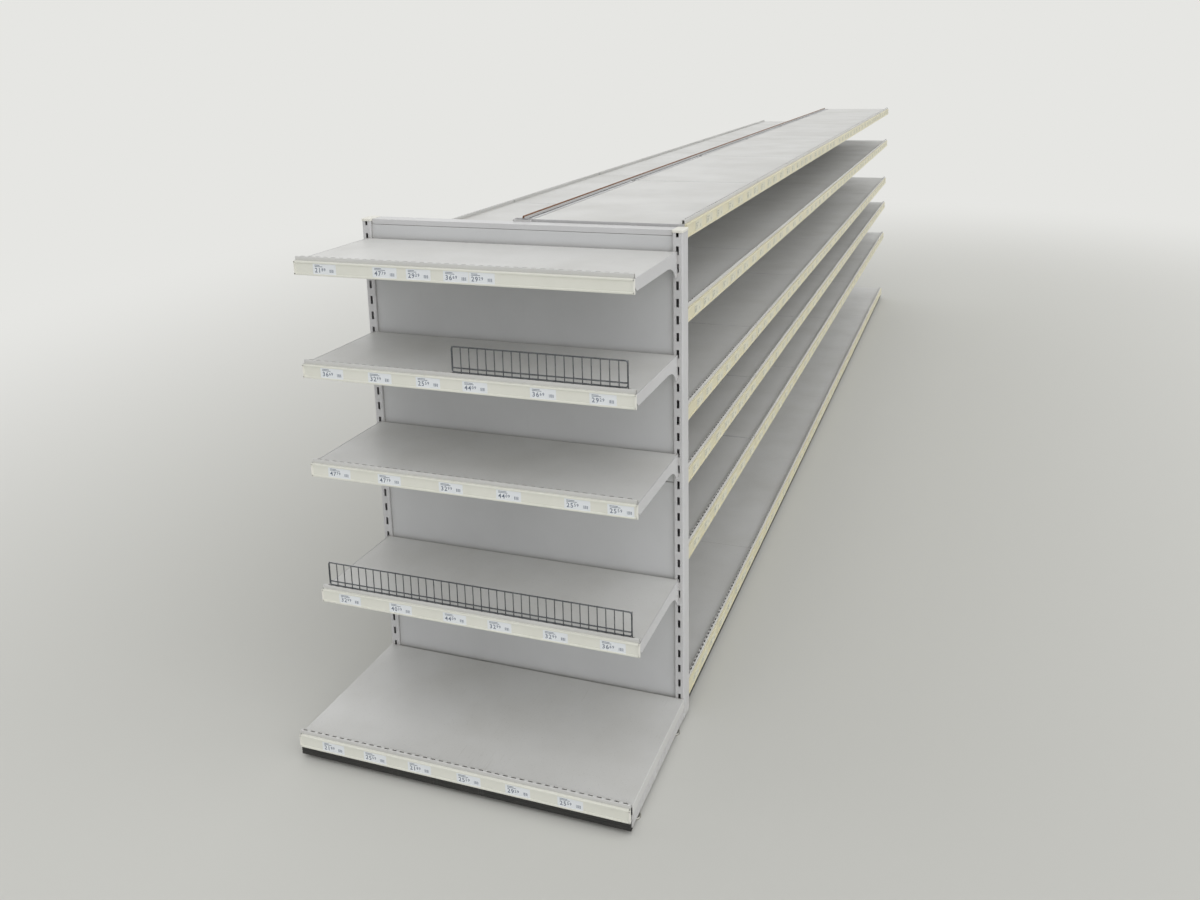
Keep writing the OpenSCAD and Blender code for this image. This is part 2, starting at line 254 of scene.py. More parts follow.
def bayRowTree():
    # one bay's piece, copied along the run
    tree, ids, source = newTree("bayRow", {"Bays": "Int", "Pitch": "Float", "Finish": "Material"})
    step = addNode(tree, "ShaderNodeCombineXYZ", {"Y": source["Pitch"]})
    line = addNode(tree, "GeometryNodeMeshLine", {"Count": source["Bays"], "Offset": step})
    copies = addNode(tree, "GeometryNodeInstanceOnPoints", {"Points": line, "Instance": source["Geometry"]})
    endTree(tree, copies, source["Finish"])
    return tree, ids


bayRow = bayRowTree()


def finishPiece(item, material, nodes=(), copies=1, folded=False):
    if copies > 1:
        runNodes(item, bayRow, {"Bays": copies, "Pitch": run["bayWidth"] * mm, "Finish": material})
    else:
        item.data.materials.clear()
        item.data.materials.append(material)
    if folded:
        # large flats keep their own normal beside the small bends
        shading = item.modifiers.new("evenShading", "WEIGHTED_NORMAL")
        shading.keep_sharp = True
        shading.weight = 100
    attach(item, "root")
    if nodes:
        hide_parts(*nodes)


def makePiece(name, shell, place, material, nodes=(), copies=1, smoothAngle=30):
    item = shellObject(name, shell, place, smoothAngle)
    finishPiece(item, material, nodes, copies, folded=True)


print("helpers ready")

# rub names the coordinates that the rub marks follow: the sheet's own, or the object's on the frame
# grime colours the specks, the mop's splashes and the inner corners, where it is painted shade too
powder = {
    "tray": {"colour": "#CFCFCD", "tint": "#C8C8C6", "dust": "#B9B7AF", "roughness": 0.44, "rub": "UV",
             "rubs": 0.30, "grime": "#8C877B", "grimeTop": 0.07},
    "frame": {"colour": "#CBCBCC", "tint": "#C3C3C4", "dust": "#B6B4AC", "roughness": 0.42, "rub": "Object",
              "rubs": 0.12, "grime": "#8C877B", "grimeTop": 0.12},
    "panel": {"colour": "#CBCCCD", "tint": "#C3C4C5", "dust": "#B5B4AE", "roughness": 0.50, "rub": "UV",
              "rubs": 0.12, "grime": "#8C877B", "grimeTop": 0.10},
    # the plinth's near-black is a dark kick plate's paint and painted shade under the base strip
    "plinth": {"colour": "#1B1B1B", "tint": "#222221", "dust": "#4A4843", "roughness": 0.48, "rub": "UV",
               "rubs": 0.35, "grime": "#4E4B45", "grimeTop": 0.03},
}


def newMaterial(name):
    material = bpy.data.materials.new(name)
    material.use_nodes = True
    material.node_tree.nodes.clear()
    return material, material.node_tree


def powderCoat(name, look):
    # Polyester powder coat baked on sheet steel: satin and faintly pebbled, dulled by dust on top, by dirt
    # and painted shade in the corners and by the mop near the floor
    material, tree = newMaterial(name)
    coordinates = addNode(tree, "ShaderNodeTexCoord").outputs
    where = coordinates["Object"]
    height = addNode(tree, "ShaderNodeSeparateXYZ", {"Vector": where}).outputs["Z"]
    normal = addNode(tree, "ShaderNodeNewGeometry").outputs["Normal"]
    upwards = addNode(tree, "ShaderNodeSeparateXYZ", {"Vector": normal}).outputs["Z"]
    # batches of paint differ slightly over about 400 mm
    batch = addNode(tree, "ShaderNodeTexNoise",
                    {"Vector": where, "Scale": 2.5, "Detail": 4.0, "Roughness": 0.55})
    batchMask = addNode(tree, "ShaderNodeMapRange", {"Value": batch, "From Min": 0.35, "From Max": 0.7})
    # a film of dust lies on faces that look up, thicker in patches of 200 mm
    up = addNode(tree, "ShaderNodeMapRange", {"Value": upwards, "From Min": 0.6, "From Max": 0.95})
    film = addNode(tree, "ShaderNodeTexNoise",
                   {"Vector": where, "Scale": 5.0, "Detail": 3.0, "Roughness": 0.45})
    filmPatch = addNode(tree, "ShaderNodeMapRange",
                        {"Value": film, "From Min": 0.4, "From Max": 0.85, "To Max": 0.28})
    filmMask = addNode(tree, "ShaderNodeMath", {0: up, 1: filmPatch}, operation="MULTIPLY")
    # crumbs and specks of 3 mm on the same faces
    speck = addNode(tree, "ShaderNodeTexNoise", {"Vector": where, "Scale": 330.0, "Detail": 1.0})
    speckSpot = addNode(tree, "ShaderNodeMapRange",
                        {"Value": speck, "From Min": 0.68, "From Max": 0.78, "To Max": 0.35})
    speckMask = addNode(tree, "ShaderNodeMath", {0: up, 1: speckSpot}, operation="MULTIPLY")
    # rub marks 1.5 mm wide and 150 mm long, drawn wider than real ones so that they show
    stretch = (420.0, 7.0, 1.0) if look["rub"] == "UV" else (420.0, 420.0, 7.0)
    rubWhere = addNode(tree, "ShaderNodeMapping", {"Vector": coordinates[look["rub"]], "Scale": stretch})
    rub = addNode(tree, "ShaderNodeTexNoise",
                  {"Vector": rubWhere, "Scale": 1.0, "Detail": 2.0, "Roughness": 0.5})
    rubArea = addNode(tree, "ShaderNodeTexNoise", {"Vector": where, "Scale": 6.0, "Detail": 2.0})
    rubLine = addNode(tree, "ShaderNodeMapRange", {"Value": rub, "From Min": 0.64, "From Max": 0.74})
    rubPatch = addNode(tree, "ShaderNodeMapRange",
                       {"Value": rubArea, "From Min": 0.48, "From Max": 0.62, "To Max": look["rubs"]})
    rubMask = addNode(tree, "ShaderNodeMath", {0: rubLine, 1: rubPatch}, operation="MULTIPLY")
    # painted shade from ambient occlusion, with dirt a cloth doesn't reach, within 20 mm of an inner corner
    corner = addNode(tree, "ShaderNodeAmbientOcclusion", {"Distance": 0.02}, samples=2).outputs["AO"]
    cornerDirtAndShadeMask = addNode(tree, "ShaderNodeMapRange",
                         {"Value": corner, "From Min": 0.75, "From Max": 0.25, "To Max": 0.5})
    # splashes of the mop near the floor, in spots of 20 mm
    low = addNode(tree, "ShaderNodeMapRange",
                  {"Value": height, "From Min": look["grimeTop"], "From Max": 0.0, "To Max": 0.6})
    splash = addNode(tree, "ShaderNodeTexNoise",
                     {"Vector": where, "Scale": 45.0, "Detail": 6.0, "Roughness": 0.7})
    splashSpot = addNode(tree, "ShaderNodeMapRange", {"Value": splash, "From Min": 0.4, "From Max": 0.75})
    splashMask = addNode(tree, "ShaderNodeMath", {0: low, 1: splashSpot}, operation="MULTIPLY")
    colour = linear(look["colour"])
    # the masks lay their colours in turn; in the inner corners the grime colour is painted shade as well as
    # dirt
    for mask, over in ((batchMask, look["tint"]), (filmMask, look["dust"]), (speckMask, look["grime"]),
                       (rubMask, "#9B9992"), (cornerDirtAndShadeMask, look["grime"]), (splashMask, look["grime"])):
        colour = addNode(tree, "ShaderNodeMix", {"Factor": mask, "A": colour, "B": linear(over)},
                         data_type="RGBA")
    # orange peel of 2 mm drawn at 4 mm, over the slow waves of thin sheet
    peel = addNode(tree, "ShaderNodeTexNoise", {"Vector": where, "Scale": 260.0, "Detail": 2.0})
    wave = addNode(tree, "ShaderNodeTexNoise", {"Vector": where, "Scale": 5.0, "Detail": 1.0})
    waveBump = addNode(tree, "ShaderNodeBump", {"Height": wave, "Strength": 0.5, "Distance": 0.0012})
    peelBump = addNode(tree, "ShaderNodeBump",
                       {"Height": peel, "Strength": 0.35, "Distance": 0.0002, "Normal": waveBump})
    sheen = addNode(tree, "ShaderNodeMapRange",
                    {"Value": film, "From Min": 0.3, "From Max": 0.8,
                     "To Min": look["roughness"] - 0.06, "To Max": look["roughness"] + 0.12})
    shader = addNode(tree, "ShaderNodeBsdfPrincipled",
                     {"Base Color": colour, "Roughness": sheen, "IOR": 1.5, "Normal": peelBump})
    addNode(tree, "ShaderNodeOutputMaterial", {"Surface": shader})
    return material


def extrudedVinyl(name, colour, shade):
    # Extruded rigid vinyl: satin, with faint drawing lines along its length and hand grime in places
    material, tree = newMaterial(name)
    where = addNode(tree, "ShaderNodeTexCoord").outputs
    # the lines of the die, 0.3 mm apart, are drawn 2 mm apart so that they show
    drawn = addNode(tree, "ShaderNodeMapping", {"Vector": where["UV"], "Scale": (1.5, 500.0, 1.0)})
    dieLines = addNode(tree, "ShaderNodeTexNoise", {"Vector": drawn, "Scale": 1.0, "Detail": 3.0})
    bump = addNode(tree, "ShaderNodeBump", {"Height": dieLines, "Strength": 0.4, "Distance": 0.0002})
    # grime lies in patches of 110 mm, about a hand's width
    grime = addNode(tree, "ShaderNodeTexNoise",
                    {"Vector": where["Object"], "Scale": 9.0, "Detail": 7.0, "Roughness": 0.65})
    grimeMask = addNode(tree, "ShaderNodeMapRange",
                        {"Value": grime, "From Min": 0.42, "From Max": 0.75, "To Max": 0.6})
    base = addNode(tree, "ShaderNodeMix", {"Factor": grimeMask, "A": linear(colour), "B": linear(shade)},
                   data_type="RGBA")
    gloss = addNode(tree, "ShaderNodeMapRange", {"Value": grime, "To Min": 0.26, "To Max": 0.46})
    shader = addNode(tree, "ShaderNodeBsdfPrincipled",
                     {"Base Color": base, "Roughness": gloss, "IOR": 1.53, "Normal": bump})
    addNode(tree, "ShaderNodeOutputMaterial", {"Surface": shader})
    return material


def zincPlate(name, bright, dull, rough):
    # Zinc plate on drawn wire and turned steel: grey metal, cloudy where the bath dulled it
    material, tree = newMaterial(name)
    where = addNode(tree, "ShaderNodeTexCoord").outputs["Object"]
    cloud = addNode(tree, "ShaderNodeTexNoise",
                    {"Vector": where, "Scale": 70.0, "Detail": 5.0, "Roughness": 0.6})
    cloudMask = addNode(tree, "ShaderNodeMapRange", {"Value": cloud, "From Min": 0.35, "From Max": 0.7})
    base = addNode(tree, "ShaderNodeMix", {"Factor": cloudMask, "A": linear(bright), "B": linear(dull)},
                   data_type="RGBA")
    # the plate's grain of 0.1 mm is drawn at 1 mm, the finest that shows
    grain = addNode(tree, "ShaderNodeTexNoise", {"Vector": where, "Scale": 900.0, "Detail": 2.0})
    bump = addNode(tree, "ShaderNodeBump", {"Height": grain, "Strength": 0.3, "Distance": 0.0001})
    gloss = addNode(tree, "ShaderNodeMapRange",
                    {"Value": cloud, "From Min": 0.3, "From Max": 0.75,
                     "To Min": rough, "To Max": rough + 0.18})
    shader = addNode(tree, "ShaderNodeBsdfPrincipled",
                     {"Base Color": base, "Metallic": 1.0, "Roughness": gloss, "Normal": bump})
    addNode(tree, "ShaderNodeOutputMaterial", {"Surface": shader})
    return material


def rawHardboard(name, pale, dark):
    # Hardboard pressed from wood fibre: matt brown, with darker fibre bundles that run along the cut edge
    material, tree = newMaterial(name)
    where = addNode(tree, "ShaderNodeTexCoord").outputs["Object"]
    # bundles are about 1 mm thick and 17 mm long
    fibre = addNode(tree, "ShaderNodeMapping", {"Vector": where, "Scale": (900.0, 60.0, 900.0)})
    fibres = addNode(tree, "ShaderNodeTexNoise",
                     {"Vector": fibre, "Scale": 1.0, "Detail": 5.0, "Roughness": 0.7})
    fibreMask = addNode(tree, "ShaderNodeMapRange", {"Value": fibres, "From Min": 0.3, "From Max": 0.7})
    brown = addNode(tree, "ShaderNodeMix", {"Factor": fibreMask, "A": linear(pale), "B": linear(dark)},
                    data_type="RGBA")
    bump = addNode(tree, "ShaderNodeBump", {"Height": fibres, "Strength": 0.5, "Distance": 0.0004})
    shader = addNode(tree, "ShaderNodeBsdfPrincipled",
                     {"Base Color": brown, "Roughness": 0.75, "IOR": 1.45, "Normal": bump})
    addNode(tree, "ShaderNodeOutputMaterial", {"Surface": shader})
    return material


def mouldedPlastic(name, colour, shade, rough):
    # Moulded polypropylene: matt from a sparked tool, a little yellowed
    material, tree = newMaterial(name)
    where = addNode(tree, "ShaderNodeTexCoord").outputs["Object"]
    age = addNode(tree, "ShaderNodeTexNoise", {"Vector": where, "Scale": 30.0, "Detail": 4.0})
    base = addNode(tree, "ShaderNodeMix", {"Factor": age, "A": linear(colour), "B": linear(shade)},
                   data_type="RGBA")
    # the spark marks of 0.2 mm are drawn at 0.8 mm
    grain = addNode(tree, "ShaderNodeTexNoise", {"Vector": where, "Scale": 1200.0, "Detail": 2.0})
    bump = addNode(tree, "ShaderNodeBump", {"Height": grain, "Strength": 0.4, "Distance": 0.0001})
    shader = addNode(tree, "ShaderNodeBsdfPrincipled",
                     {"Base Color": base, "Roughness": rough, "IOR": 1.49, "Normal": bump})
    addNode(tree, "ShaderNodeOutputMaterial", {"Surface": shader})
    return material


def printedPaper(name, colour, shade, rough):
    # Uncoated label stock or the toner on it: matt, mottled over a few millimetres
    material, tree = newMaterial(name)
    where = addNode(tree, "ShaderNodeTexCoord").outputs["Object"]
    mottle = addNode(tree, "ShaderNodeTexNoise", {"Vector": where, "Scale": 350.0, "Detail": 4.0})
    base = addNode(tree, "ShaderNodeMix", {"Factor": mottle, "A": linear(colour), "B": linear(shade)},
                   data_type="RGBA")
    shader = addNode(tree, "ShaderNodeBsdfPrincipled", {"Base Color": base, "Roughness": rough, "IOR": 1.45})
    addNode(tree, "ShaderNodeOutputMaterial", {"Surface": shader})
    return material


trayPaint = powderCoat("powderCoatTray", powder["tray"])
framePaint = powderCoat("powderCoatFrame", powder["frame"])
panelPaint = powderCoat("powderCoatPanel", powder["panel"])
plinthBlackAndShade = powderCoat("powderCoatPlinthAndShade", powder["plinth"])
flankVinyl = extrudedVinyl("vinylCream", "#DBD5B7", "#D0C9AA")
endVinyl = extrudedVinyl("vinylIvory", "#E1E1D8", "#D9D9CE")
capVinyl = extrudedVinyl("vinylEndCap", "#E8E7E0", "#DDDBD1")
# the wire's zinc is drawn darker than bright plate, a painted reflection of dark surroundings
wireZincPaintedDark = zincPlate("zincPlatedWirePaintedDark", "#74777B", "#4A4D51", 0.18)
footZinc = zincPlate("zincPlatedFoot", "#B3B2AC", "#8B8A84", 0.34)
hardboard = rawHardboard("hardboardRaw", "#8B5E3C", "#5A3B25")
capPlastic = mouldedPlastic("polypropyleneMoulded", "#E6E5DE", "#DAD8CD", 0.5)
newPaper = printedPaper("labelPaper", "#E9ECEF", "#DFE3E7", 0.7)
oldPaper = printedPaper("labelPaperYellowed", "#DEDCCB", "#D4D2BF", 0.75)
newInk = printedPaper("labelToner", "#505B70", "#6C7788", 0.6)
oldInk = printedPaper("labelTonerFaded", "#84887F", "#9A9B8E", 0.7)
print("finishes ready")

# Trays. The flat sheet meets the front and side folds a join's width inside them. beadEdges are the two
# edges of the front fold's outline on top of the bead, where the slots are cut. clear is the gap to the
# upright, and gap is how much shorter than a bay a tray is.
tray = {"sheet": 1.2, "bend": 0.5, "clear": 0.3, "beadHeight": 12, "beadWidth": 9, "beadEdges": (10, 32),
        "join": 8, "fold": 40, "inward": 14, "rear": 24, "side": 29.7, "sideStop": 1, "gap": 6.6,
        "slotPitch": 25, "slotLength": 14, "slotWidth": 4.6,
        "ribWidth": 50, "ribHeight": 15, "ribFlange": 8, "ribSlope": 3, "ribBend": 1.0}


def trayShell(width, depth, top):
    sheet, half, middle = tray["sheet"], width / 2, top - tray["sheet"] / 2
    join, inset = depth - tray["beadWidth"] - tray["join"], half - tray["join"]
    shell = newShell()
    rear = tray["clear"] + sheet / 2
    back = foldedOutline([(rear, top - tray["rear"]), (rear, middle), (join, middle)], sheet, tray["bend"])
    sweep(shell, back, -inset, inset)
    # front fold with its box bead and the bead's slots
    inner, outer = depth - tray["beadWidth"] + sheet / 2, depth - sheet / 2
    crest, foot = top + tray["beadHeight"] - sheet / 2, top - tray["fold"] + sheet / 2
    front = foldedOutline([(join, middle), (inner, middle), (inner, crest), (outer, crest), (outer, foot),
                           (depth - tray["inward"], foot)], sheet, tray["bend"])
    last = math.floor(half / tray["slotPitch"] - 0.5)
    centres = [n * tray["slotPitch"] for n in range(-last, last + 1)]
    bead = depth - tray["beadWidth"] / 2
    sweep(shell, front, -half, half, slots={
        "edges": tray["beadEdges"], "y": (bead - tray["slotWidth"] / 2, bead + tray["slotWidth"] / 2),
        "spans": [(x - tray["slotLength"] / 2, x + tray["slotLength"] / 2) for x in centres]})
    for side in (-1, 1):
        low = top - tray["side"]
        flank = foldedOutline([(inset, middle), (half - sheet / 2, middle), (half - sheet / 2, low)], sheet,
                              tray["bend"])
        sweep(shell, flank, tray["clear"], join, alongDepth(side))
        box(shell, (join, half - sheet, low), (depth - tray["inward"] - tray["sideStop"], half, top - sheet),
            alongDepth(side))
    # pressed channel welded under the sheet
    back, front = (depth - tray["ribWidth"]) / 2, (depth + tray["ribWidth"]) / 2
    flange, slope = tray["ribFlange"], tray["ribSlope"]
    weld, low = top - 1.5 * sheet, top - sheet - tray["ribHeight"]
    rib = foldedOutline([(back - flange, weld), (back, weld), (back + slope, low), (front - slope, low),
                         (front, weld), (front + flange, weld)], sheet, tray["ribBend"], 3)
    sweep(shell, rib, flange - half, half - flange)
    return shell


for name, side, levels in flanks:
    for i, top in enumerate(levels):
        shell = trayShell(run["bayWidth"] - tray["gap"], run["depth"], top)
        makePiece(f"{name}Trays{i + 1}", shell, flankPlace(side), trayPaint,
                  [f"{name}_shelves_{i + 1}"], run["bays"])
    shell = trayShell(run["bayWidth"] - run["joint"], run["baseDepth"], run["baseTop"])
    makePiece(f"{name}BaseTrays", shell, flankPlace(side), trayPaint, [f"{name}_base_trays"],
              run["bays"])
for i, top in enumerate(endBay["levels"]):
    shell = trayShell(endBay["width"] - tray["gap"], endBay["depth"], top)
    makePiece(f"endTray{i + 1}", shell, endPlace, trayPaint, [f"end_shelf_{i + 1}"])
shell = trayShell(endBay["baseWidth"], endBay["baseDepth"], run["baseTop"])
makePiece("endBaseTray", shell, endPlace, trayPaint, ["end_base_tray"])
print("trays ready")

# Back panels and plinths
panel = {"sheet": 1.2, "bend": 1.2, "back": 10, "recess": 8, "rows": 4, "gap": 1, "clear": 0.3,
         "belowTop": 15}
plinth = {"sheet": 1.2, "bend": 0.6, "back": 14, "clear": 0.3, "lines": 2, "deep": 1.0, "wide": 2.2}


def panelShell(low, high):
    sheet, shell = panel["sheet"], newShell()
    back, face = -panel["recess"] - panel["back"], -panel["recess"] - sheet / 2
    half = (run["bayWidth"] - run["postWidth"]) / 2 - panel["clear"]
    pitch = (high - low) / panel["rows"]
    for row in range(panel["rows"]):
        z0, z1 = low + row * pitch + sheet / 2, low + (row + 1) * pitch - panel["gap"] - sheet / 2
        sweep(shell, foldedOutline([(back, z0), (face, z0), (face, z1), (back, z1)], sheet, panel["bend"]),
              -half, half)
    return shell


def plinthShell(width, depth):
    sheet, face, back = plinth["sheet"], depth - plinth["sheet"] / 2, depth - plinth["back"]
    low, high = run["floorGap"], run["baseTop"] - tray["fold"] - plinth["clear"]
    path = [(back, low + sheet / 2), (face, low + sheet / 2)]
    for n in range(plinth["lines"]):
        z = low + (n + 1) * (high - low) / (plinth["lines"] + 1)
        path += [(face, z - plinth["wide"]), (face - plinth["deep"], z), (face, z + plinth["wide"])]
    path += [(face, high - sheet / 2), (back, high - sheet / 2)]
    shell = newShell()
    sweep(shell, foldedOutline(path, sheet, plinth["bend"], 3), -width / 2, width / 2)
    return shell


for name, side, levels in flanks:
    makePiece(f"{name}Panels", panelShell(run["floorGap"], run["postTop"]), flankPlace(side), panelPaint,
              [f"{name}_back_panels"], run["bays"])
    shell = plinthShell(run["bayWidth"] - run["joint"], run["baseDepth"])
    makePiece(f"{name}Plinths", shell, flankPlace(side), plinthBlackAndShade, [f"{name}_plinths"],
              run["bays"])
makePiece("endPanels", panelShell(run["legTop"] + panel["clear"], endBay["postTop"] - panel["belowTop"]),
          endPlace, panelPaint, ["end_back_panels"])
makePiece("endPlinth", plinthShell(endBay["baseWidth"], endBay["baseDepth"]), endPlace, plinthBlackAndShade,
          ["end_plinth"])
print("panels and plinths ready")

# Ticket strips: a channel with an upper and a lower lip, open to the front, and caps on the end bay's strips
strip = {"height": 40, "depth": 7, "round": 1.6, "lip": 5.5, "lipCut": (0.5, 0.7), "deep": 2.4, "short": 1,
         "cap": 4, "capRound": 2.2}


def stripRows(levels):
    # depth and top of one bay's strips, from the base up
    return [(run["baseDepth"], run["baseTop"])] + [(run["depth"], top) for top in levels]


def roundedFront(depth, radius):
    # from the back to the front, round one corner, with z counted from the strip's edge
    front, middle = depth + strip["depth"], 0.3 * radius
    return [(depth, 0), (front - radius, 0), (front - middle, middle), (front, radius)]


def mirroredOutline(half, top):
    low = top - strip["height"]
    return [(y, low + z) for y, z in half] + [(y, top - z) for y, z in reversed(half)]


def stripShell(width, depth, top):
    front, lip, (inward, along) = depth + strip["depth"], strip["lip"], strip["lipCut"]
    half = roundedFront(depth, strip["round"])
    half += [(front, lip - along), (front - inward, lip), (front - strip["deep"], lip)]
    shell = newShell()
    sweep(shell, mirroredOutline(half, top), strip["short"] - width / 2, width / 2 - strip["short"])
    return shell


def stripCapsShell(width, depth, top):
    shell = newShell()
    for x in (-width / 2, width / 2 - strip["cap"]):
        sweep(shell, mirroredOutline(roundedFront(depth, strip["capRound"]), top), x, x + strip["cap"])
    return shell


for name, side, levels in flanks:
    shells = [stripShell(run["bayWidth"] - run["joint"], depth, top) for depth, top in stripRows(levels)]
    makePiece(f"{name}Strips", joinShells(shells), flankPlace(side), flankVinyl,
              [f"{name}_ticket_strips"], run["bays"])
# width, depth and top of the end bay's strips
endStrips = [(endBay["width"] - run["joint"], endBay["depth"], top) for top in endBay["levels"]]
endStrips.append((endBay["baseWidth"], endBay["baseDepth"], run["baseTop"]))
makePiece("endStrips", joinShells([stripShell(*sizes) for sizes in endStrips]), endPlace, endVinyl,
          ["end_ticket_strips"])
makePiece("endStripCaps", joinShells([stripCapsShell(*sizes) for sizes in endStrips]), endPlace, capVinyl)
print("ticket strips ready")

# Tickets: cards with plain made-up numbers, dropped into the strips. Print is laid out from the card's
# middle, with x to the reader's right, and the run's hundreds of tickets carry less of it.
ticket = {"width": 74, "height": 33, "thick": 0.4, "corner": 1.5, "inset": 1.7, "designs": 8, "seed": 11,
          "tilt": 0.02, "seeds": {"right": 3, "left": 60},
          "start": 50, "end": 45, "jitter": 22, "step": 92, "spread": 55, "most": 24}
figures = {"left": -31.0, "lift": 0.05, "weight": 0.012, "large": {"size": 18.5, "low": -10, "step": 10.8},
           "small": {"size": 12, "low": -5.8, "step": 7.4}}
printLines = [{"low": 5.6, "high": 7.2, "length": 25, "step": 5, "spread": 9},
              {"low": 9.2, "high": 10.8, "length": 16, "step": 7, "spread": 11}]
bars = {"left": 17, "pitch": 2.3, "low": -9, "thin": 0.9, "thick": 1.5}
finePrint = {"figures": ("large", "large", "small", "small"), "curveSteps": 2, "lines": 2, "bars": 6}
plainPrint = {"figures": ("large", "large"), "curveSteps": 1, "lines": 1, "bars": 3}


def bar(shell, x0, z0, x1, z1):
    base = len(shell["verts"])
    shell["verts"] += [(-x, figures["lift"], z) for x, z in ((x0, z0), (x1, z0), (x1, z1), (x0, z1))]
    shell["faces"].append((base, base + 1, base + 2, base + 3))


def figure(shell, value, x, z, size, curveSteps):
    # a figure of Blender's own plain typeface, set as a flat mesh
    curve = bpy.data.curves.new("figure", "FONT")
    curve.body = value
    curve.size = size
    curve.offset = size * figures["weight"]
    curve.resolution_u = curveSteps
    item = newObject("figure", curve)
    bpy.context.view_layer.update()
    mesh = bpy.data.meshes.new_from_object(item.evaluated_get(bpy.context.evaluated_depsgraph_get()))
    base = len(shell["verts"])
    shell["verts"] += [(-x - v.co.x, figures["lift"], z + v.co.y) for v in mesh.vertices]
    shell["faces"] += [tuple(base + i for i in face.vertices) for face in mesh.polygons]
    bpy.data.objects.remove(item)
    bpy.data.curves.remove(curve)


def ticketPrint(number, style):
    # a made-up price, one or two lines of print over it and a few upright bars at the right
    shell = newShell()
    price = str((number * 37 + 119) % 900 + 99) + "9"
    left = x = figures["left"]
    for value, kind in zip(price[-len(style["figures"]):], style["figures"]):
        figure(shell, value, x, figures[kind]["low"], figures[kind]["size"], style["curveSteps"])
        x += figures[kind]["step"]
    for line in printLines[:style["lines"]]:
        length = line["length"] + number * line["step"] % line["spread"]
        bar(shell, left, line["low"], left + length, line["high"])
    for k in range(style["bars"]):
        x = bars["left"] + k * bars["pitch"]
        bar(shell, x, bars["low"], x + (bars["thin"] if (number + k) % 3 else bars["thick"]), 0)
    return shell


def cardShell():
    x, z, cut = ticket["width"] / 2, ticket["height"] / 2, ticket["corner"]
    outline = [(cut - x, -z), (x - cut, -z), (x, cut - z), (x, z - cut), (x - cut, z), (cut - x, z),
               (-x, z - cut), (-x, cut - z)]
    shell = newShell()
    sweep(shell, outline, -ticket["thick"], 0, alongDepth())
    return shell


def stock(name, shells):
    group = bpy.data.collections.new(name)
    for i, shell in enumerate(shells):
        mesh = bpy.data.meshes.new(f"{name}{i}")
        mesh.from_pydata([toMetres @ Vector(v) for v in shell["verts"]], [], shell["faces"])
        if name == "cards":
            turnOutwards(mesh)
        group.objects.link(bpy.data.objects.new(f"{name}{i}", mesh))
    return group


def ticketTree():
    # every vertex of the input mesh is a ticket's place
    tree, ids, source = newTree("ticketRow", {"Stock": "Collection", "Seed": "Int", "Turn": "Float",
                                              "Tilt": "Float", "Finish": "Material"})
    pieces = addNode(tree, "GeometryNodeCollectionInfo",
                     {"Collection": source["Stock"], "Separate Children": True, "Reset Children": True})
    pick = addNode(tree, "FunctionNodeRandomValue",
                   {"Min": 0, "Max": ticket["designs"] - 1, "Seed": source["Seed"]}, data_type="INT")
    lean = addNode(tree, "FunctionNodeRandomValue",
                   {"Min": -1.0, "Max": 1.0, "Seed": source["Seed"]}, data_type="FLOAT")
    tilt = addNode(tree, "ShaderNodeMath", {0: lean, 1: source["Tilt"]}, operation="MULTIPLY")
    tiltAngles = addNode(tree, "ShaderNodeCombineXYZ", {"Y": tilt})
    turnAngles = addNode(tree, "ShaderNodeCombineXYZ", {"Z": source["Turn"]})
    tilted = addNode(tree, "FunctionNodeEulerToRotation", {0: tiltAngles})
    turned = addNode(tree, "FunctionNodeEulerToRotation", {0: turnAngles})
    rotation = addNode(tree, "FunctionNodeRotateRotation", {0: tilted, 1: turned})
    copies = addNode(tree, "GeometryNodeInstanceOnPoints",
                     {"Points": source["Geometry"], "Instance": pieces, "Pick Instance": True,
                      "Instance Index": pick, "Rotation": rotation})
    endTree(tree, copies, source["Finish"])
    return tree, ids


def wander(count, seed):
    # the same row of numbers from 0 to 1 for the same seed, by the usual linear congruence
    values, state = [], seed * 7919 + 17
    for _ in range(count):
        state = (state * 1103515245 + 12345) % 2147483648
        values.append(state / 2147483648)
    return values


def ticketSpot(x, depth, top):
    return Vector((x, depth + strip["depth"] - ticket["inset"], top - strip["height"] / 2))


def flankSpots(side, levels, seed):
    spots, half = [], run["bayWidth"] / 2
    for bay in range(run["bays"]):
        offset = Vector((-side * bay * run["bayWidth"], 0, 0))
        for i, (depth, top) in enumerate(stripRows(levels)):
            x = ticket["start"] - half
            for value in wander(ticket["most"], seed + bay * 7 + i):
                x += ticket["jitter"] * value
                if x > half - ticket["end"]:
                    break
                spots.append(ticketSpot(x, depth, top) + offset)
                x += ticket["step"] + ticket["spread"] * value
    return spots


ticketRow = ticketTree()
cards = stock("cards", [cardShell() for _ in range(ticket["designs"])])
finePrints = stock("finePrints", [ticketPrint(n, finePrint) for n in range(ticket["designs"])])
plainPrints = stock("plainPrints", [ticketPrint(n, plainPrint) for n in range(ticket["designs"])])


def ticketPieces(name, spots, place, turn, prints, paper, ink):
    for kind, group, material in (("Cards", cards, paper), ("Prints", prints, ink)):
        mesh = bpy.data.meshes.new(name + kind)
        mesh.from_pydata([toMetres @ place @ spot for spot in spots], [], [])
        item = newObject(name + kind, mesh)
        runNodes(item, ticketRow, {"Stock": group, "Seed": ticket["seed"], "Turn": turn,
                                   "Tilt": ticket["tilt"], "Finish": material})
        finishPiece(item, material)


for name, side, levels in flanks:
    ticketPieces(f"{name}Tickets", flankSpots(side, levels, ticket["seeds"][name]), flankPlace(side),
                 -side * math.pi / 2, plainPrints, oldPaper, oldInk)
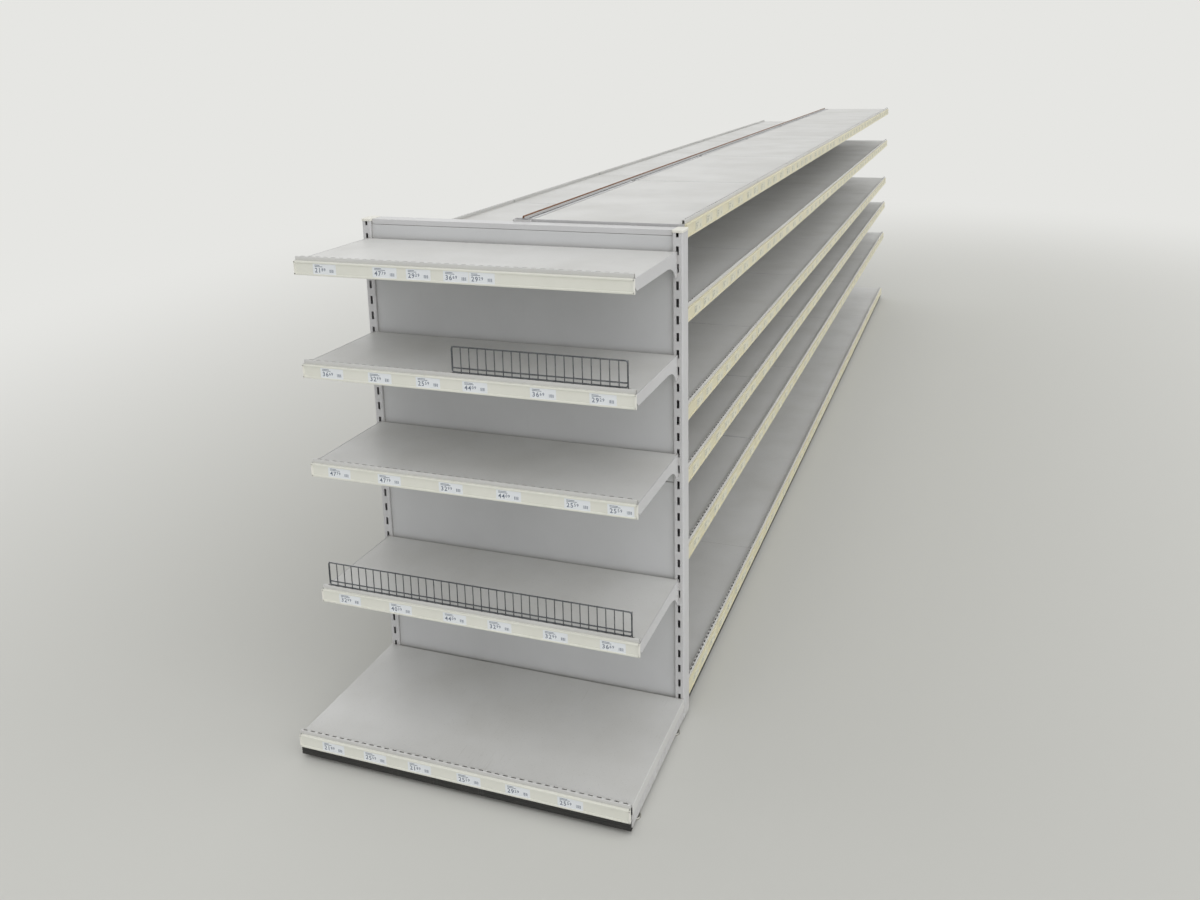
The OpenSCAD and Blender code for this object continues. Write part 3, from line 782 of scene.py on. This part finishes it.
# places along the end bay's strips, from the base up, seen from the front and read from left to right
endRows = [[-400, -260, -115, 40, 190, 345], [-403, -232, -56, 85, 255, 423],
           [-405, -240, -45, 131, 331, 453], [-403, -248, -97, 45, 243, 410], [-400, -210, -107, 5, 81]]
endSpots = []
for row, (_, depth, top) in zip(endRows, endStrips[-1:] + endStrips[:-1]):
    endSpots += [ticketSpot(-x, depth, top) for x in row]
ticketPieces("endTickets", endSpots, endPlace, math.pi, finePrints, newPaper, newInk)
print("tickets ready")

# Wire fences: first is the bead slot of the first wire, counted from the middle of the tray
fence = {"height": 75, "pitch": 25, "frameWire": 4.0, "barWire": 3.0, "lowGap": 12, "pin": 7, "corner": 7,
         "cornerSteps": 5, "lift": 0.3, "sink": 0.94, "frameSides": 10, "barSides": 8}
fences = [{"name": "lowerFence", "node": "wire_fence_lower", "level": 0, "first": -19, "gaps": 38},
          {"name": "upperFence", "node": "wire_fence_upper", "level": 2, "first": -19, "gaps": 20}]


def fenceTree():
    tree, ids, source = newTree("wireFence", {
        "Wires": "Int", "Pitch": "Float", "Length": "Float", "Loop Height": "Float", "Middle": "Float",
        "Frame Radius": "Float", "Bar Radius": "Float", "Bar Back": "Float", "Bar Foot": "Float",
        "Bar Top": "Float", "Low Wire": "Float", "Corner": "Float", "Finish": "Material"})
    # frame: one closed loop with rounded corners
    loop = addNode(tree, "GeometryNodeCurvePrimitiveQuadrilateral",
                   {"Width": source["Length"], "Height": source["Loop Height"]})
    rounded = addNode(tree, "GeometryNodeFilletCurve",
                      {"Curve": loop, "Radius": source["Corner"], "Count": fence["cornerSteps"]}, mode="POLY")
    stand = addNode(tree, "GeometryNodeTransform", {"Geometry": rounded, "Rotation": (math.pi / 2, 0, 0)})
    half = addNode(tree, "ShaderNodeMath", {0: source["Length"], 1: 0.5}, operation="MULTIPLY")
    centre = addNode(tree, "ShaderNodeCombineXYZ", {"X": half, "Z": source["Middle"]})
    moved = addNode(tree, "GeometryNodeSetPosition", {"Geometry": stand, "Offset": centre})
    frameRound = addNode(tree, "GeometryNodeCurvePrimitiveCircle",
                         {"Resolution": fence["frameSides"], "Radius": source["Frame Radius"]})
    frameMesh = addNode(tree, "GeometryNodeCurveToMesh", {"Curve": moved, "Profile Curve": frameRound})
    # second low wire
    lowStart = addNode(tree, "ShaderNodeCombineXYZ", {"Z": source["Low Wire"]})
    lowEnd = addNode(tree, "ShaderNodeCombineXYZ", {"X": source["Length"], "Z": source["Low Wire"]})
    lowLine = addNode(tree, "GeometryNodeCurvePrimitiveLine", {"Start": lowStart, "End": lowEnd})
    lowMesh = addNode(tree, "GeometryNodeCurveToMesh",
                      {"Curve": lowLine, "Profile Curve": frameRound, "Fill Caps": True})
    # upright wires, welded on the inner side, with their pins in the bead's slots
    start = addNode(tree, "ShaderNodeCombineXYZ", {"Y": source["Bar Back"]})
    step = addNode(tree, "ShaderNodeCombineXYZ", {"X": source["Pitch"]})
    row = addNode(tree, "GeometryNodeMeshLine",
                  {"Count": source["Wires"], "Start Location": start, "Offset": step})
    barFoot = addNode(tree, "ShaderNodeCombineXYZ", {"Z": source["Bar Foot"]})
    barTop = addNode(tree, "ShaderNodeCombineXYZ", {"Z": source["Bar Top"]})
    barLine = addNode(tree, "GeometryNodeCurvePrimitiveLine", {"Start": barFoot, "End": barTop})
    barRound = addNode(tree, "GeometryNodeCurvePrimitiveCircle",
                       {"Resolution": fence["barSides"], "Radius": source["Bar Radius"]})
    barMesh = addNode(tree, "GeometryNodeCurveToMesh",
                      {"Curve": barLine, "Profile Curve": barRound, "Fill Caps": True})
    uprights = addNode(tree, "GeometryNodeInstanceOnPoints", {"Points": row, "Instance": barMesh})
    join = addNode(tree, "GeometryNodeJoinGeometry")
    for part in (frameMesh, lowMesh, uprights):
        tree.links.new(part.outputs[0], join.inputs[0])
    smooth = addNode(tree, "GeometryNodeSetShadeSmooth", {0: join})
    endTree(tree, smooth, source["Finish"])
    return tree, ids


wireFence = fenceTree()
frameRadius, barRadius = fence["frameWire"] / 2, fence["barWire"] / 2
for piece in fences:
    item = newObject(piece["name"], bpy.data.meshes.new(piece["name"]))
    sizes = {"Pitch": fence["pitch"], "Length": piece["gaps"] * fence["pitch"], "Corner": fence["corner"],
             "Loop Height": fence["height"] - fence["frameWire"], "Middle": fence["height"] / 2,
             "Frame Radius": frameRadius, "Bar Radius": barRadius, "Bar Foot": -fence["pin"],
             "Bar Back": -fence["sink"] * (frameRadius + barRadius), "Bar Top": fence["height"] - frameRadius,
             "Low Wire": fence["lowGap"] + frameRadius}
    runNodes(item, wireFence, {"Wires": piece["gaps"] + 1, "Finish": wireZincPaintedDark,
                               **{name: size * mm for name, size in sizes.items()}})
    seat = Vector((piece["first"] * fence["pitch"], endBay["depth"] - tray["beadWidth"] / 2,
                   endBay["levels"][piece["level"]] + tray["beadHeight"] + fence["lift"]))
    item.data.transform(toMetres @ endPlace @ Matrix.Translation(seat) @ Matrix.Scale(1 / mm, 4))
    finishPiece(item, wireZincPaintedDark, [piece["node"]])
print("fences ready")

# Brackets: a plate with two hooks behind the upright's wall, a curved heel and a ledge for the tray's side.
# Heights are counted down from the tray's surface.
bracket = {"plate": 2.5, "height": 34, "cut": 12, "edge": 0.5, "heel": 72, "heelLength": 95, "heelFront": 18,
           "bow": 3, "steps": 8, "ledge": 10, "ledgeDrop": 31, "ledgeSheet": 2, "ledgeBend": 0.5,
           "ledgeRoot": 0.6, "ledgeStop": 2, "seat": 0.3, "wall": 2.3, "tongue": 3, "neck": 10, "hook": 9,
           "slotOver": 10, "pitch": 50}


def heelCurve():
    # a quadratic curve from the plate's lower edge to the foot of the heel, drawn in steps
    corners = ((bracket["heelLength"], -bracket["height"]),
               (bracket["heelLength"] / 3, -bracket["height"] - bracket["bow"]),
               (bracket["heelFront"], -bracket["heel"]))
    curve = []
    for k in range(bracket["steps"] + 1):
        t = k / bracket["steps"]
        curve.append([(1 - t) ** 2 * u + 2 * t * (1 - t) * v + t * t * w for u, v, w in zip(*corners)])
    return curve


def bracketShell(depth, top, x, side):
    seat, wall, behind = bracket["seat"], -bracket["wall"], -bracket["wall"] - bracket["tongue"]
    outline = [(seat, -bracket["heel"])]
    for low in (-bracket["slotOver"] - bracket["pitch"], -bracket["slotOver"]):
        tip, high = low - bracket["neck"], low + bracket["hook"]
        outline += [(seat, low), (wall, low), (wall, tip), (behind, tip), (behind, high), (seat, high)]
    outline += [(seat, 0), (depth, 0), (depth, bracket["cut"] - bracket["height"]),
                (depth - bracket["cut"], -bracket["height"])] + heelCurve()
    shell = newShell()
    sweep(shell, [(y, z + top) for y, z in reversed(outline)], x, x + side * bracket["plate"])
    # the ledge grows out of the plate, from a quarter of the heel's length to the tray's front fold
    z, root = top - bracket["ledgeDrop"], x + side * bracket["plate"] * bracket["ledgeRoot"]
    ledge = foldedOutline([(root, z), (x + side * (bracket["plate"] + bracket["ledge"]), z)],
                          bracket["ledgeSheet"], bracket["ledgeBend"])
    sweep(shell, ledge, bracket["heelLength"] / 4, depth - tray["inward"] - bracket["ledgeStop"],
          alongDepth())
    return shell


outer = run["bayWidth"] / 2 - bracket["edge"]
for name, side, levels in flanks:
    shells = [bracketShell(run["depth"], top, hand * -outer, hand) for top in levels for hand in (1, -1)]
    makePiece(f"{name}Brackets", joinShells(shells), flankPlace(side), framePaint,
              [f"{name}_brackets"], run["bays"])
for name, side, _ in flanks:
    shells = [bracketShell(endBay["depth"], top, side * -outer, side) for top in endBay["levels"]]
    makePiece(f"endBrackets{name.capitalize()}", joinShells(shells), endPlace, framePaint,
              [f"end_brackets_{name}"])
print("brackets ready")

# Divider along the top: a channel between two wings that holds a strip of hardboard
divider = {"width": 18, "height": 6, "sheet": 1.5, "bend": 0.4, "clear": 0.3, "board": 5, "boardLow": 2,
           "rise": 3, "edge": 0.6}


def railShell(half):
    sheet, low, shell = divider["sheet"], run["postTop"], newShell()
    wall, middle = divider["board"] / 2 + sheet / 2 + divider["clear"], low + sheet / 2
    lip = low + divider["height"]
    paths = [[(-wall, lip), (-wall, middle), (wall, middle), (wall, lip)]]
    for side in (-1, 1):
        paths.append([(side * divider["width"] / 2, middle), (side * (wall + sheet / 2), middle)])
    for path in paths:
        sweep(shell, foldedOutline(path, sheet, divider["bend"]), -half, half)
    return shell


def boardShell(half):
    y, foot, cut = divider["board"] / 2, run["postTop"] + divider["boardLow"], divider["edge"]
    top = run["postTop"] + divider["height"] + divider["rise"]
    outline = [(-y, foot), (y, foot), (y, top - cut), (y - cut, top), (cut - y, top), (-y, top - cut)]
    shell = newShell()
    sweep(shell, outline, -half, half)
    return shell


ridge = flankPlace(1) @ Matrix.Translation((0, -run["postDepth"] / 2, 0))
half = (run["bayWidth"] - run["joint"]) / 2
makePiece("dividerRails", railShell(half), ridge, framePaint, ["divider_rails"], run["bays"])
makePiece("dividerBoards", boardShell(half), ridge, hardboard, ["divider_boards"], run["bays"])
print("divider ready")

# Post caps: a skirt and a crowned top. A ring is given by how much narrower it is than the cap, how much
# smaller its corners are, and its height over the post.
cap = {"width": 33.6, "depth": 63.6, "radius": 5.8, "steps": 4,
       "rings": ((2.4, 1, -6), (0.4, 0, -5.8), (0, 0, -5), (0, 0, 0), (0.6, 0, 1.1), (2, 0.6, 1.76),
                 (6, 2.2, 2.2))}


def roundedRing(width, depth, radius, z):
    ring = []
    for xSide, ySide, start in ((1, 1, 0), (-1, 1, 90), (-1, -1, 180), (1, -1, 270)):
        for k in range(cap["steps"] + 1):
            angle = math.radians(start + 90 * k / cap["steps"])
            ring.append((xSide * (width / 2 - radius) + radius * math.cos(angle),
                         ySide * (depth / 2 - radius) + radius * math.sin(angle), z))
    return ring


def loft(shell, rings, place):
    # walls between rings of as many points, closed at both ends
    base, count = len(shell["verts"]), len(rings[0])
    faces = []
    for ring in rings:
        shell["verts"] += [place @ Vector(p) for p in ring]
    for k in range(len(rings) - 1):
        low = base + k * count
        faces += [(low + i, low + (i + 1) % count, low + count + (i + 1) % count, low + count + i)
                  for i in range(count)]
    for k in (0, len(rings) - 1):
        faces.append(tuple(base + k * count + i for i in range(count)))
    shell["faces"] += faces
    shell["uv"] += [[(0, 0)] * len(face) for face in faces]


shell = newShell()
capRings = [roundedRing(cap["width"] - less, cap["depth"] - less, cap["radius"] - tighter, z)
            for less, tighter, z in cap["rings"]]
for x in (-endBay["width"] / 2, endBay["width"] / 2):
    place = Matrix.Translation((x, run["face"] + run["postDepth"] / 2, endBay["postTop"]))
    loft(shell, capRings, place)
makePiece("postCaps", shell, unturned, capPlastic, ["end_post_caps"], smoothAngle=50)
print("caps ready")

# Levelling feet: a pressed disc, a nut and a threaded stem. The disc's profile is counted from its edge, and
# the nut is given across its flats.
foot = {"disc": 36, "thick": 6, "sides": 20,
        "profile": ((-1, 0), (0, 1), (0, 4), (-1.5, 5.5), (-3, 5.8), (-10, 6)),
        "nut": 17, "nutHeight": 7, "stem": 10, "stemSides": 12, "thread": 2.0, "threadDepth": 0.9,
        "top": 47.2, "inset": 60}


def circleRing(radius, z, sides):
    angles = [2 * math.pi * k / sides for k in range(sides)]
    return [(radius * math.cos(angle), radius * math.sin(angle), z) for angle in angles]


def footShell(shell, place):
    disc = [circleRing(foot["disc"] / 2 + out, z, foot["sides"]) for out, z in foot["profile"]]
    low, z = foot["thick"], foot["thick"] + foot["nutHeight"]
    nut = [circleRing(foot["nut"] / 2 / math.cos(math.pi / 6), end, 6) for end in (low, z)]
    stem, radius = [], foot["stem"] / 2
    while z < foot["top"]:
        stem += [circleRing(radius, z, foot["stemSides"]),
                 circleRing(radius - foot["threadDepth"], z + foot["thread"] / 2, foot["stemSides"])]
        z += foot["thread"]
    for rings in (disc, nut, stem):
        loft(shell, rings, place)


def footPlaces(depth):
    return [Matrix.Translation((0, y, 0)) for y in (foot["inset"], depth - tray["inward"] - foot["inset"])]


shell = newShell()
for post in range(run["bays"] + 1):
    step = Matrix.Translation((0, (post - 0.5) * run["bayWidth"], 0))
    for side in (1, -1):
        for place in footPlaces(run["baseDepth"]):
            footShell(shell, step @ flankPlace(side) @ place)
for side in (-1, 1):
    for place in footPlaces(endBay["baseDepth"]):
        footShell(shell, endPlace @ Matrix.Translation((side * endBay["width"] / 2, 0, 0)) @ place)
makePiece("levellingFeet", shell, unturned, footZinc, ["levelling_feet"])
print("feet ready")

# Posts, uprights, rails and legs keep their CAD shape and take the frame's paint
for name in ("end_post_right", "end_post_left", "run_uprights", "end_base_legs", "end_cross_rails",
             "right_base_legs", "left_base_legs"):
    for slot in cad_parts[name].material_slots:
        slot.material = framePaint

# Floor, light and camera, in metres and degrees. The floor fades into the backdrop from fadeFrom to fadeTo
# outside the rectangle that the run stands in, given by its half width and half length.
studio = {"floor": "#CACAC5", "backdrop": "#E6E6E3", "reach": 60, "rectangle": (0.5, 3.3, 0),
          "fadeFrom": 0.6, "fadeTo": 6.0, "ambient": 0.36}
lamps = {"ceilingLight": {"power": 2.2, "angle": 105, "from": (0.70, -0.58, 0.80)},
         "fillLight": {"power": 0.6, "angle": 90, "from": (-0.8, 0.5, 0.7)}}
# the photograph's place, turn and roll, with a longer lens that brings the run closer
view = {"place": (1.3127, -5.6059, 2.0227), "yaw": 20.33, "pitch": 13.0, "roll": 1.23, "lens": 32.0,
        "shift": -0.125}


def floorFinish():
    # matt floor paint that keeps the shadow near the run and turns into the plain backdrop further out
    material, tree = newMaterial("studioFloor")
    light = addNode(tree, "ShaderNodeLightPath").outputs
    seen = addNode(tree, "ShaderNodeMath", {0: light["Is Camera Ray"], 1: light["Is Glossy Ray"]},
                   operation="MAXIMUM")
    where = addNode(tree, "ShaderNodeTexCoord").outputs["Object"]
    folded = addNode(tree, "ShaderNodeVectorMath", {0: where}, operation="ABSOLUTE")
    beside = addNode(tree, "ShaderNodeVectorMath", {0: folded, 1: studio["rectangle"]}, operation="SUBTRACT")
    outside = addNode(tree, "ShaderNodeVectorMath", {0: beside, 1: (0, 0, 0)}, operation="MAXIMUM")
    away = addNode(tree, "ShaderNodeVectorMath", {0: outside}, operation="LENGTH")
    fade = addNode(tree, "ShaderNodeMapRange",
                   {"Value": away, "From Min": studio["fadeFrom"], "From Max": studio["fadeTo"]},
                   interpolation_type="SMOOTHSTEP")
    faded = addNode(tree, "ShaderNodeMath", {0: fade, 1: seen}, operation="MULTIPLY")
    matt = addNode(tree, "ShaderNodeBsdfPrincipled",
                   {"Base Color": linear(studio["floor"]), "Roughness": 0.8})
    pale = addNode(tree, "ShaderNodeEmission", {"Color": linear(studio["backdrop"]), "Strength": 1.0})
    both = addNode(tree, "ShaderNodeMixShader", {0: faded, 1: matt, 2: pale})
    addNode(tree, "ShaderNodeOutputMaterial", {"Surface": both})
    return material


def studioFloor():
    reach = studio["reach"]
    mesh = bpy.data.meshes.new("floor")
    mesh.from_pydata([(-reach, -reach, 0), (reach, -reach, 0), (reach, reach, 0), (-reach, reach, 0)], [],
                     [(0, 1, 2, 3)])
    mesh.materials.append(floorFinish())
    return newObject("floor", mesh)


def studioWorld():
    # even white light on the run, and the plain backdrop wherever the world is seen
    world = bpy.data.worlds.new("studio")
    world.use_nodes = True
    tree = world.node_tree
    tree.nodes.clear()
    light = addNode(tree, "ShaderNodeLightPath").outputs
    seen = addNode(tree, "ShaderNodeMath", {0: light["Is Camera Ray"], 1: light["Is Glossy Ray"]},
                   operation="MAXIMUM")
    shown = addNode(tree, "ShaderNodeMath", {0: seen, 1: light["Is Transmission Ray"]}, operation="MAXIMUM")
    dim = addNode(tree, "ShaderNodeBackground", {"Color": linear("#FFFFFF"), "Strength": studio["ambient"]})
    pale = addNode(tree, "ShaderNodeBackground", {"Color": linear(studio["backdrop"]), "Strength": 1.0})
    both = addNode(tree, "ShaderNodeMixShader", {0: shown, 1: dim, 2: pale})
    addNode(tree, "ShaderNodeOutputWorld", {"Surface": both})
    return world


studioFloor()
scene.world = studioWorld()
for name, look in lamps.items():
    lamp = bpy.data.lights.new(name, "SUN")
    lamp.energy = look["power"]
    lamp.angle = math.radians(look["angle"])
    newObject(name, lamp).rotation_euler = Vector(look["from"]).to_track_quat("Z", "Y").to_euler()

lens = bpy.data.cameras.new("camera")
lens.lens = view["lens"]
lens.sensor_width = 36
lens.shift_y = view["shift"]
lens.clip_end = 100
camera = newObject("camera", lens)
camera.matrix_world = (Matrix.Translation(view["place"]) @ Matrix.Rotation(math.radians(view["yaw"]), 4, "Z")
                       @ Matrix.Rotation(math.radians(90 - view["pitch"]), 4, "X")
                       @ Matrix.Rotation(math.radians(-view["roll"]), 4, "Z"))
scene.camera = camera
scene.view_settings.view_transform = "Standard"

print("scene ready")
